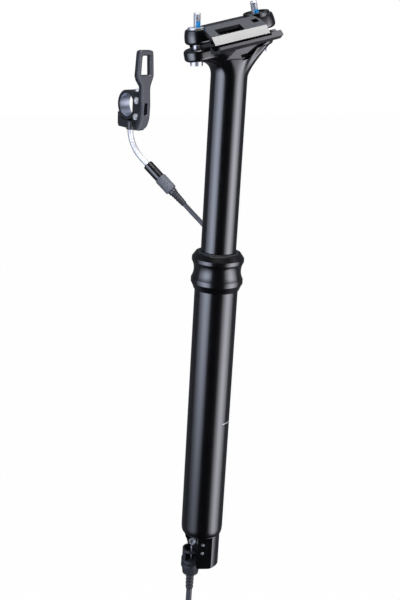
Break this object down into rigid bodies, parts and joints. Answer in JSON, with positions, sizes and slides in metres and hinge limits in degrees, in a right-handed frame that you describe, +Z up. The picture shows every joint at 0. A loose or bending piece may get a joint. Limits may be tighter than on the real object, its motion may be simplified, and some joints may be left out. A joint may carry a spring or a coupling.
{
  "type": "dropper seatpost",
  "caption": "Dropper seatpost: a stanchion that slides in an outer tube, with a tilting saddle clamp, a gas cartridge, a cable actuator and a thumb lever for the handlebar.",
  "frame": {"origin": "on the post's axis, at the underside of the seal collar", "axes": "+Z up along the post, -X to the front of the bicycle, -Y to its left side"},
  "size_m": [0.1496, 0.3752, 0.5479],
  "materials": {
    "black_anodised": "gloss black anodised",
    "black_plastic": "satin black",
    "black_rubber": "matte black",
    "steel": "bright zinc plated",
    "polished_steel": "polished",
    "brass": "turned",
    "bush": "dull",
    "housing_sheath": "satin black"
  },
  "bodies": {
    "outer": {"outer_tube": "black_anodised", "seal_collar": "black_anodised", "wiper_seal": "black_rubber", "collar_o_ring": "black_rubber", "upper_bush": "bush", "top_out_bumper": "black_rubber", "gas_rod": "polished_steel", "rod_piston": "brass", "piston_ring": "black_rubber", "actuator_housing": "black_anodised", "actuator_pins": "steel", "cable_stop": "black_plastic", "lower_boot": "black_rubber", "lower_cable": "housing_sheath", "cable_coil": "housing_sheath", "coil_tie": "black_plastic", "upper_cable": "housing_sheath", "upper_boot": "black_rubber", "adjuster_stem": "black_anodised", "noodle_ferrule": "black_anodised", "noodle": "polished_steel", "remote_bracket": "black_anodised", "remote_band": "black_anodised", "band_bolt": "steel", "pivot_bolt": "steel", "side_screw": "steel"},
    "post": {"stanchion": "black_anodised", "seat_head": "black_anodised", "lower_bush": "bush", "guide_keys": "brass", "gas_cylinder": "steel", "cylinder_gland": "black_anodised", "cartridge_nut": "steel", "front_bolt": "steel", "rear_bolt": "steel"},
    "saddle_clamp": {"cradle": "black_anodised", "upper_clamp": "black_anodised"},
    "front_nut": {"front_nut": "steel"},
    "rear_nut": {"rear_nut": "steel"},
    "actuator_lever": {"actuator_lever": "black_anodised"},
    "cable_end": {"cable_barrel": "steel", "grub_screw": "steel", "inner_wire": "steel"},
    "valve_pin": {"valve_pin": "steel"},
    "thumb_lever": {"remote_lever": "black_anodised", "cable_nipple": "steel"},
    "barrel_adjuster": {"adjuster_barrel": "black_anodised"}
  },
  "joints": [
    {"name": "post_travel", "type": "slide", "parent": "outer", "child": "post", "axis": [0, 0, 1], "range_m": [-0.12, 0], "stiffness_N_per_m": 100, "springref_m": 0.6},
    {"name": "saddle_tilt", "type": "hinge", "parent": "post", "child": "saddle_clamp", "pos_m": [-0.0044, 0, 0.185], "axis": [0, 1, 0], "range_deg": [-3.5, 3.5]},
    {"name": "front_nut_slide", "type": "slide", "parent": "post", "child": "front_nut", "axis": [-0.0436, 0, 0.999], "range_m": [-0.0015, 0.0015]},
    {"name": "rear_nut_slide", "type": "slide", "parent": "post", "child": "rear_nut", "axis": [-0.2334, 0, 0.9724], "range_m": [-0.0015, 0.0015]},
    {"name": "lever_press", "type": "hinge", "parent": "outer", "child": "thumb_lever", "pos_m": [0.05251, 0.31411, 0.091], "axis": [-0.9563, -0.2924, 0], "range_deg": [0, 20], "stiffness_Nm_per_rad": 0.4, "springref_deg": -5.73},
    {"name": "actuator_swing", "type": "hinge", "parent": "outer", "child": "actuator_lever", "pos_m": [0, 0, -0.199], "axis": [-0.2756, -0.9613, 0], "range_deg": [0, 20.5]},
    {"name": "cable_end_turn", "type": "hinge", "parent": "actuator_lever", "child": "cable_end", "pos_m": [-0.00654, 0.00187, -0.2005], "axis": [-0.2756, -0.9613, 0], "range_deg": [-20.5, 0]},
    {"name": "valve_push", "type": "slide", "parent": "outer", "child": "valve_pin", "axis": [0, 0, 1], "range_m": [0, 0.001]},
    {"name": "adjuster_turn", "type": "hinge", "parent": "outer", "child": "barrel_adjuster", "pos_m": [0.06079, 0.30631, 0.03107], "axis": [0.5609, -0.505, -0.6561], "continuous": true}
  ],
  "couplings": [
    {"joint": "front_nut_slide", "follows": "saddle_tilt", "m_per_rad": 0.0219},
    {"joint": "rear_nut_slide", "follows": "saddle_tilt", "m_per_rad": -0.0215},
    {"joint": "actuator_swing", "follows": "lever_press", "ratio": 1},
    {"joint": "cable_end_turn", "follows": "lever_press", "ratio": -1},
    {"joint": "valve_push", "follows": "lever_press", "m_per_rad": 0.0027}
  ]
}
